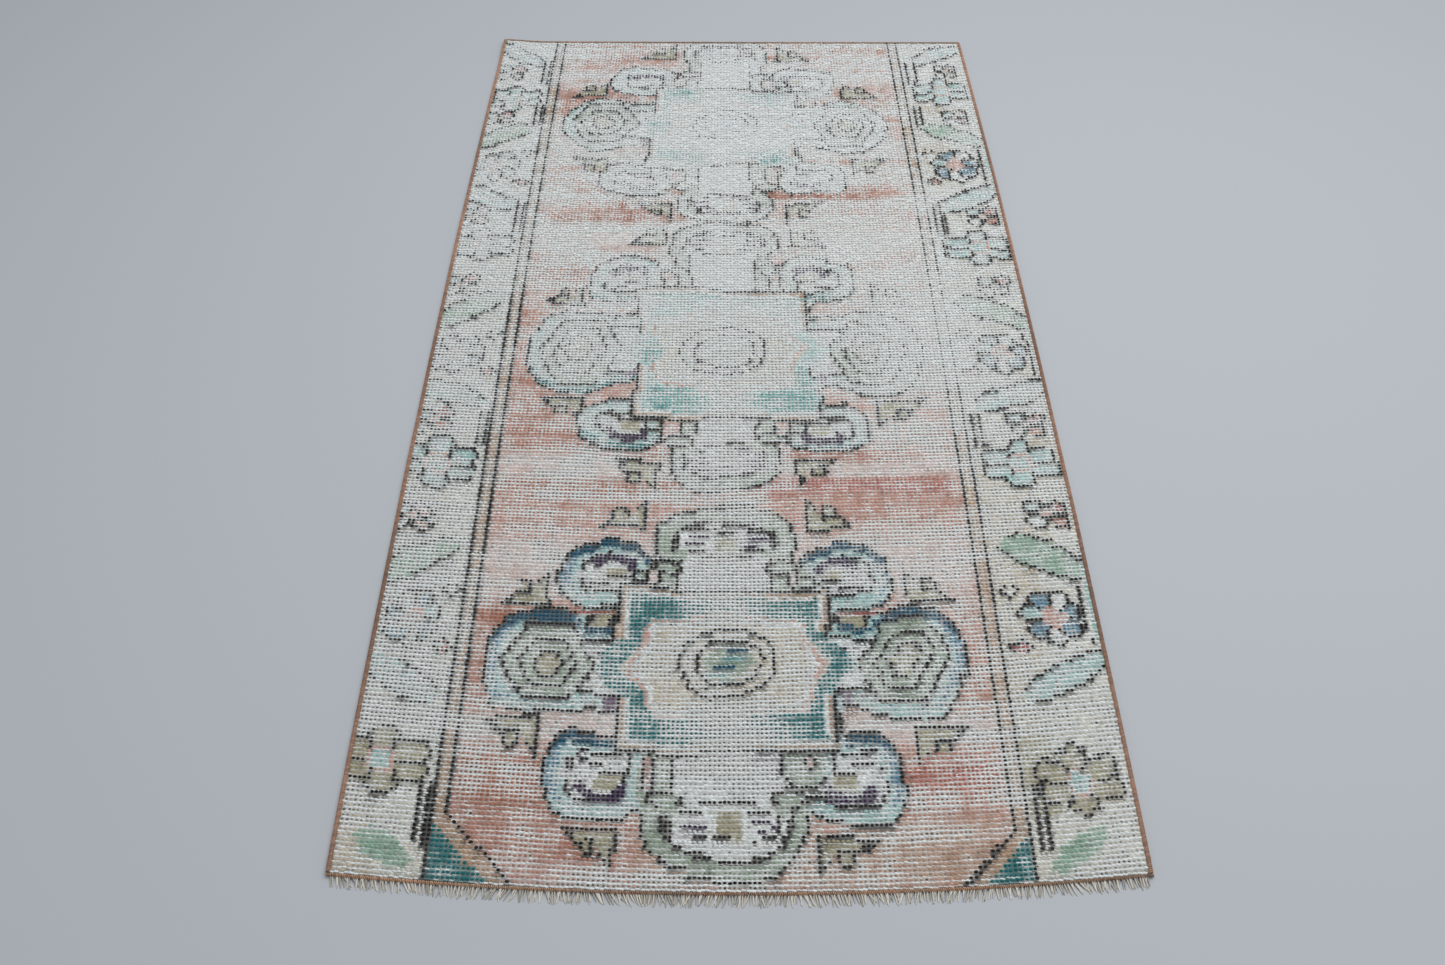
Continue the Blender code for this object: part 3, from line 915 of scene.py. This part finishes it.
def map_from_above(obj):
    """A UV map that looks straight down on the piece, for a texture of it."""
    mesh = obj.data
    points = np.empty(len(mesh.vertices) * 3, np.float32)
    mesh.vertices.foreach_get("co", points)
    corner = np.empty(len(mesh.loops), np.int32)
    mesh.loops.foreach_get("vertex_index", corner)
    flat = points.reshape(-1, 3)[:, :2]
    low, high = flat.min(0), flat.max(0)
    uv = (flat - low) / (high - low)
    mesh.uv_layers.new(name="OFBake").uv.foreach_set("vector", uv[corner].ravel())


# ---------------------------------------------------------------- pieces

PILE_FULL = PILE_TOP - GROUND_TOP
PILE_BARE = 0.0006
WEFT_HEIGHT = 0.001
BARE_EDGE = 1.2  # columns at each side that the selvedge covers

# Each kind's sizes: a tuft of wool, and a bead of weft
TUFT = {
    "Sides": 6, "Half Length": COLUMN_PITCH * 0.53, "Half Width": ROW_PITCH * 0.30,
    "Crown": 0.55, "Height": PILE_FULL,
}
BEAD = {
    "Sides": 4, "Half Length": COLUMN_PITCH * 0.72, "Half Width": ROW_PITCH * 0.31,
    "Crown": 0.60, "Height": WEFT_HEIGHT,
}


def row_sway(rng):
    """How far each knot stands from its straight row, in rows, where the wefts were beaten unevenly."""
    held = np.clip(R / 8, 0, 1) * np.clip((ROWS - R) / 8, 0, 1)
    return held * (0.55 * smooth_noise(rng, 34, 16) + 0.20 * smooth_noise(rng, 9, 1.0))


def opaque(colour):
    """Colours with an alpha of 1."""
    return np.concatenate([colour, np.ones((len(colour), 1))], 1)


def standing_piece(name, x, y, angle, swell, colour, tree, sizes, material):
    """Tufts or beads that stand on the cloth."""
    points = np.stack([x, y, GROUND_TOP - GAP + lift(x, y)], 1)
    turn = np.zeros((len(points), 3))
    turn[:, 2] = angle
    obj = points_object(name, points, turn=turn, swell=np.stack(swell, 1), dye=opaque(colour))
    realised(obj, tree, {**sizes, "Material": material})
    map_from_above(obj)
    return obj


def knot_piece(name, chosen, colour, wear, sway, rng, material, tree):
    """One region's knots, as tufts whose height and size vary with wear, each turned a little."""
    count = int(chosen.sum())
    columns, rows, gone = C[chosen], R[chosen], wear[chosen]
    loose = 1 + 2.5 * np.clip((rows - 120) / 100, 0, 1)
    rows = rows + sway[chosen] + 0.18 + 0.04 * loose * rng.standard_normal(count)
    x, y = place(columns + 0.06 * rng.standard_normal(count), rows)
    height = (PILE_BARE + (PILE_FULL - PILE_BARE) * (1 - gone)) * rng.uniform(0.8, 1.12, count)
    angle = 0.10 * rng.standard_normal(count)
    narrowing = 0.36 + 0.14 * np.clip((rows - 80) / 120, 0, 1)
    wide = rng.uniform(0.76, 1.04, count) * (1.0 - narrowing * np.clip(gone * 2.4 - 0.7, 0, 1))
    deep = rng.uniform(0.82, 1.1, count) * (1.12 - 0.45 * gone)
    swell = (wide, deep, height / PILE_FULL)
    return standing_piece(name, x, y, angle, swell, colour[chosen], tree, TUFT, material)


def weft_piece(name, first, last, colour, wear, sway, rng, material, tree):
    """The ivory weft between rows of knots: a bead where it passes over each pair of warps."""
    chosen = (R > first) & (R < last) & (C > BARE_EDGE) & (C < COLUMNS - BARE_EDGE)
    count = int(chosen.sum())
    columns, rows, gone = C[chosen], R[chosen], wear[chosen]
    columns = columns + np.where(rows.astype(int) % 2, 0.25, -0.25) + 0.05 * rng.standard_normal(count)
    loose = 1 + 1.5 * np.clip((rows - 120) / 100, 0, 1)
    x, y = place(columns, rows + sway[chosen] - 0.34 + 0.07 * loose * rng.standard_normal(count))
    angle = -0.14 + 0.06 * rng.standard_normal(count)
    wide = rng.uniform(0.88, 1.08, count)
    deep = rng.uniform(0.85, 1.12, count) * (0.46 + 0.38 * np.clip(gone * 1.6, 0, 1))
    height = (0.0007 + 0.0009 * gone) * rng.uniform(0.8, 1.15, count) / WEFT_HEIGHT
    cotton = linear(WEFT_COTTON) * rng.uniform(0.84, 1.04, (count, 1))
    stain = np.clip(0.98 - 2.4 * gone, 0.03, 0.9)
    tone = cotton + (colour[chosen] - cotton) * stain[:, None]
    return standing_piece(name, x, y, angle, (wide, deep, height), tone, tree, BEAD, material)


def grid_points(columns, rows, z):
    """World points of a grid over the cloth, standing z over its underside."""
    c, r = np.meshgrid(columns, rows)
    x, y = place(c, r)
    return np.stack([x, y, z + lift(x, y)], -1)


def closed_sheet(wide, deep):
    """The faces of a closed sheet of so many points: its underside's points come first, then its top's."""
    count = wide * deep
    index = np.arange(count).reshape(deep, wide)
    a, b, c, d = index[:-1, :-1], index[:-1, 1:], index[1:, 1:], index[1:, :-1]
    top = np.stack([a, b, c, d], -1).reshape(-1, 4) + count
    bottom = np.stack([a, d, c, b], -1).reshape(-1, 4)
    loop = np.concatenate([index[0, :-1], index[:-1, -1], index[-1, :0:-1], index[:0:-1, 0]])
    after = np.roll(loop, -1)
    walls = np.stack([loop, after, after + count, loop + count], -1)
    return np.concatenate([bottom, top, walls])


def ground_cloth(colour, wear, material):
    """The woven ground as one sheet: its top between the knots has the pile's dye with painted shade, and its
    back shows them.
    """
    columns = np.linspace(0.35, COLUMNS - 0.35, 111)
    rows = np.linspace(0.0, ROWS, 149)
    low, high = grid_points(columns, rows, 0.0004), grid_points(columns, rows, GROUND_TOP - GAP / 2)
    points = np.concatenate([low.reshape(-1, 3), high.reshape(-1, 3)])
    mesh = bpy.data.meshes.new("ground_cloth")
    mesh.from_pydata(points.tolist(), [], closed_sheet(len(columns), len(rows)).tolist())
    mesh.shade_smooth()
    nearest = np.ix_(np.clip(rows.astype(int), 0, ROWS - 1), np.clip(columns.astype(int), 0, COLUMNS - 1))
    knots = colour[nearest].reshape(-1, 3)
    # Where the pile is little worn, the top takes the knots' dye darkened as painted shade of the pile; worn
    # places keep the pale cotton
    pile_shade = np.clip(1.2 - 2.4 * wear[nearest].reshape(-1, 1), 0.12, 0.9)
    cotton = linear(GROUND_COTTON)
    top = cotton + (knots * 0.6 - cotton) * pile_shade
    dye = opaque(np.concatenate([knots * 0.85, top])).astype(np.float32)
    mesh.attributes.new("dye", "FLOAT_COLOR", "POINT").data.foreach_set("color", dye.ravel())
    mesh.materials.append(material)
    return link_object("ground_cloth", mesh)


WINDING_STEP = 0.0021
CORE_STEP = 0.03
SELVEDGE_YARN, OVERCAST_YARN = 0.00085, 0.0007


def selvedge_path(side, step):
    """Points along one selvedge's cord, from the near end to the far one."""
    along = np.linspace(0, 1, int(LENGTH / step) + 1)
    x = side * (half_width(along) - SELVEDGE_RADIUS)
    y = LENGTH * (along - 0.5) + SHIFT
    return np.stack([x, y, SELVEDGE_RADIUS + lift(x, y)], 1)


def overcast_path(row, outward):
    """Points along the stitched edge at one end, from left to right."""
    columns = np.linspace(0.3, COLUMNS - 0.3, int(WIDTH / WINDING_STEP))
    x, y = place(columns, np.full_like(columns, row))
    y = y + outward * (END_CORD_RADIUS + GAP)
    return np.stack([x, y, END_CORD_RADIUS + lift(x, y)], 1)


def winding_piece(name, path, radius, yarn_radius, tilt, rng, dye, material, tree):
    """Yarn wound round a path, turn beside turn."""
    count = len(path)
    run = np.gradient(path, axis=0)
    turn = np.zeros((count, 3))
    turn[:, 1] = pi / 2
    turn[:, 2] = np.arctan2(run[:, 1], run[:, 0]) + tilt + 0.06 * rng.standard_normal(count)
    swell = np.ones((count, 3)) * rng.uniform(0.95, 1.04, (count, 1))
    drift = 1 + 0.2 * np.sin(np.arange(count) / 37.0)
    tone = linear(dye) * rng.uniform(0.72, 1.2, (count, 1)) * drift[:, None]
    obj = points_object(name, path, turn=turn, swell=swell, dye=opaque(tone))
    sizes = {"Radius": radius - yarn_radius, "Yarn Radius": yarn_radius, "Steps": 12, "Sides": 4}
    return realised(obj, tree, {**sizes, "Material": material})


def runs_object(name, runs, thickness, dye):
    """Edge runs, one for each strand, with their thickness and dye."""
    edges, start = [], 0
    for run in runs:
        edges += [(start + k, start + k + 1) for k in range(len(run) - 1)]
        start += len(run)
    carried = {"thickness": np.concatenate(thickness), "dye": np.concatenate(dye)}
    return points_object(name, np.concatenate(runs), edges, **carried)


def core_piece(name, side, material, tree):
    """The cord that a selvedge is wound on."""
    path = selvedge_path(side, CORE_STEP)
    dye = np.tile((*linear(CORE_COTTON), 1.0), (len(path), 1))
    obj = runs_object(name, [path], [np.full(len(path), CORE_RADIUS)], [dye])
    return realised(obj, tree, {"Sides": 8, "Material": material})


STRANDS = 400
STRAND_RADIUS = 0.00084
STRAND_REST = 0.0007  # height of a strand's middle where it lies on the floor
STRAND_SWAY = 0.012  # the furthest a strand strays from its warp
STRAND_TAPER = (1.0, 1.0, 0.97, 0.92, 0.85, 0.55)


def strand_run(number, row, outward, length, rng):
    """One warp's cut end: it leaves the cloth, bends, and comes down to lie on the floor."""
    column = 1.0 + (COLUMNS - 2.0) * (number + rng.uniform(0.1, 0.9)) / STRANDS
    x, y = place(column, row)
    reach = length * rng.uniform(0.66, 0.92)
    lean = 0.34 * np.sin(column / 7.3) + 0.20 * np.sin(column / 2.1) + 0.20 * rng.standard_normal()
    lean = np.clip(lean, -1.1, 1.1)
    along = np.linspace(0, 1, len(STRAND_TAPER))
    bend = rng.uniform(-0.3, 0.3)
    px = x + reach * 0.75 * np.sin(lean) * along + reach * bend * along**2 * 0.6
    px = np.clip(px, x - STRAND_SWAY, x + STRAND_SWAY)
    py = y + outward * (0.0006 + reach * np.cos(lean * 0.6) * along)
    drop = END_CORD_RADIUS * 0.9 + lift(x, y) - STRAND_REST
    hump = 0.0006 * rng.uniform() * np.sin(pi * along)
    pz = STRAND_REST + drop * (1 - along) ** 1.6 + hump
    return np.stack([px, py, pz], 1)


def fringe_piece(name, row, outward, length, rng, material, tree):
    """The warps' cut ends, lying every way on the floor."""
    runs, thickness, dyes = [], [], []
    for number in range(STRANDS):
        runs.append(strand_run(number, row, outward, length, rng))
        thickness.append(np.array(STRAND_TAPER) * STRAND_RADIUS * rng.uniform(0.8, 1.15))
        tone = np.minimum(linear(WARP_COTTON) * rng.uniform(0.50, 1.08), 1)
        dyes.append(np.tile((*tone, 1.0), (len(STRAND_TAPER), 1)))
    obj = runs_object(name, runs, thickness, dyes)
    return realised(obj, tree, {"Sides": 4, "Material": material})


SPANDREL = 11.5  # knots along each leg of a corner triangle
FIELD_SPLIT = 150
WEFT_PARTS = (("weft_near", 0, 99), ("weft_middle", 99, 198), ("weft_far", 198, ROWS))
SIDES = ((-1, "left"), (1, "right"))
ENDS = (("near", 0, -1, NEAR_FRINGE), ("far", ROWS, 1, FAR_FRINGE))


def pile_regions():
    """Which knots each piece of pile has, by its kind and its place."""
    pile = (C > BARE_EDGE) & (C < COLUMNS - BARE_EDGE)
    guard_left = (C > GUARD_LEFT[0]) & (C < GUARD_LEFT[1])
    guard_right = (C > GUARD_RIGHT[0]) & (C < GUARD_RIGHT[1])
    field = (C > GUARD_LEFT[1]) & (C < GUARD_RIGHT[0])
    spandrel_left = field & (C - GUARD_LEFT[1] + R < SPANDREL)
    spandrel_right = field & (GUARD_RIGHT[0] - C + R < SPANDREL)
    field &= ~(spandrel_left | spandrel_right)
    near = field & cartouche(MEDALLIONS["near"])
    middle = field & cartouche(MEDALLIONS["middle"]) & ~near
    far = field & cartouche(MEDALLIONS["far"]) & ~middle
    field &= ~(near | middle | far)
    return {
        ("border", "left"): pile & (C < GUARD_LEFT[0]), ("border", "right"): pile & (C > GUARD_RIGHT[1]),
        ("guard", "left"): guard_left, ("guard", "right"): guard_right,
        ("field", "near"): field & (R < FIELD_SPLIT), ("field", "far"): field & (R > FIELD_SPLIT),
        ("medallion", "near"): near, ("medallion", "middle"): middle, ("medallion", "far"): far,
        ("spandrel", "left"): spandrel_left, ("spandrel", "right"): spandrel_right,
    }


def ride_root(obj, slot, *nodes):
    """The rug has one body, which every piece rides on."""
    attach(obj, "root")
    if nodes:
        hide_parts(*nodes)
    return obj


def lay_pile(colour, wear, sway, rng, yarn):
    """The knots, and the wefts between their rows."""
    tufts, pieces = tuft_tree(), []
    for (kind, part), chosen in pile_regions().items():
        name = kind + "_knots_" + part
        piece = knot_piece(name, chosen, colour, wear, sway, rng, yarn["wool_pile"], tufts)
        node = "pile_field" if kind == "field" else "pile_" + kind + "_" + part
        pieces.append(ride_root(piece, kind, node))
    for name, first, last in WEFT_PARTS:
        piece = weft_piece(name, first, last, colour, wear, sway, rng, yarn["cotton_weft"], tufts)
        pieces.append(ride_root(piece, "ground"))
    return pieces


def bind_edges(rng, yarn):
    """The wound selvedges, then each end's stitches and its fringe."""
    winding, strands, pieces = winding_tree(), strand_tree(), []
    for side, word in SIDES:
        piece = core_piece("selvedge_cord_" + word, side, yarn["core_cotton"], strands)
        pieces.append(ride_root(piece, "core", "selvedge_core_" + word))
        piece = winding_piece(
            "selvedge_winding_" + word, selvedge_path(side, WINDING_STEP), SELVEDGE_RADIUS, SELVEDGE_YARN,
            0.25, rng, SELVEDGE_WOOL, yarn["edging_wool"], winding,
        )
        pieces.append(ride_root(piece, "wrap", "selvedge_wrap_" + word))
    for word, row, outward, length in ENDS:
        piece = winding_piece(
            "overcast_stitches_" + word, overcast_path(row, outward), END_CORD_RADIUS, OVERCAST_YARN,
            0.5, rng, OVERCAST_WOOL, yarn["edging_wool"], winding,
        )
        pieces.append(ride_root(piece, "overcast", "end_overcast_" + word))
        piece = fringe_piece("fringe_strands_" + word, row, outward, length, rng, yarn["warp_ends"], strands)
        pieces.append(ride_root(piece, "fringe", "fringe_" + word))
    return pieces


def build_rug():
    """The woven ground, and everything that is tied into it or sewn to it."""
    rng = np.random.default_rng(SEED)
    dye = make_chart(rng)
    wear = wear_map(dye, rng)
    colour = knot_colours(dye, wear, rng)
    sway = row_sway(rng)
    groups = {"fibre": fibre_group(), "dust": dust_group(), "ply": ply_group()}
    yarn = {name: yarn_material(name, groups) for name in FINISHES}
    cloth = ground_cloth(colour, wear, yarn["ground_cotton"])
    ride_root(cloth, "ground", "ground_weave")
    on_cloth = lay_pile(colour, wear, sway, rng, yarn) + bind_edges(rng, yarn)


# ---------------------------------------------------------------- floor, light and camera

FLOOR_HALF = 9
FLOOR_COLOUR = (0.45, 0.475, 0.51, 1.0)
SKY_COLOUR, SKY_STRENGTH = (0.88, 0.94, 1.0, 1.0), 0.39
LAMP_SIZE, LAMP_ENERGY, LAMP_COLOUR = 3.2, 88, (1.0, 0.98, 0.95)
LAMP_PLACE, LAMP_TURN = (0.7, 0.3, 3.0), (radians(-4), radians(12), 0)
CAMERA_PLACE = (-0.021, -1.572, 1.332)
CAMERA_LENS = 35.12
LOOK_DOWN, LOOK_RIGHT, ROLL = radians(45.84), radians(0.14), radians(0.2)


def make_floor():
    """A plain pale floor, which isn't part of the rug."""
    mesh = bpy.data.meshes.new("studio_floor")
    corners = [(x * FLOOR_HALF, y * FLOOR_HALF, 0) for x, y in ((-1, -1), (1, -1), (1, 1), (-1, 1))]
    mesh.from_pydata(corners, [], [(0, 1, 2, 3)])
    material = bpy.data.materials.new("pale_floor")
    material.use_nodes = True
    shader = material.node_tree.nodes["Principled BSDF"]
    connect(material.node_tree, shader, {"Base Color": FLOOR_COLOUR, "Roughness": 0.85})
    mesh.materials.append(material)
    link_object("studio_floor", mesh)


def make_light():
    """Soft light from the whole room, and a broad lamp above."""
    world = bpy.data.worlds.new("studio")
    bpy.context.scene.world = world
    world.use_nodes = True
    sky = world.node_tree.nodes["Background"]
    connect(world.node_tree, sky, {"Color": SKY_COLOUR, "Strength": SKY_STRENGTH})
    lamp = bpy.data.lights.new("soft_key", "AREA")
    lamp.shape = "RECTANGLE"
    lamp.size, lamp.size_y = LAMP_SIZE, LAMP_SIZE
    lamp.energy = LAMP_ENERGY
    lamp.color = LAMP_COLOUR
    key = link_object("soft_key", lamp)
    key.location = LAMP_PLACE
    key.rotation_euler = LAMP_TURN


def make_camera():
    """Looks down the rug from over its near end."""
    data = bpy.data.cameras.new("camera")
    data.sensor_width = 36
    data.lens = CAMERA_LENS
    camera = link_object("camera", data)
    camera.location = CAMERA_PLACE
    turn = Euler((pi / 2 - LOOK_DOWN, 0, -LOOK_RIGHT)).to_matrix() @ Euler((0, 0, ROLL)).to_matrix()
    camera.rotation_euler = turn.to_euler()
    bpy.context.scene.camera = camera
    bpy.context.scene.view_settings.view_transform = "Standard"


make_camera()
make_light()
make_floor()
build_rug()
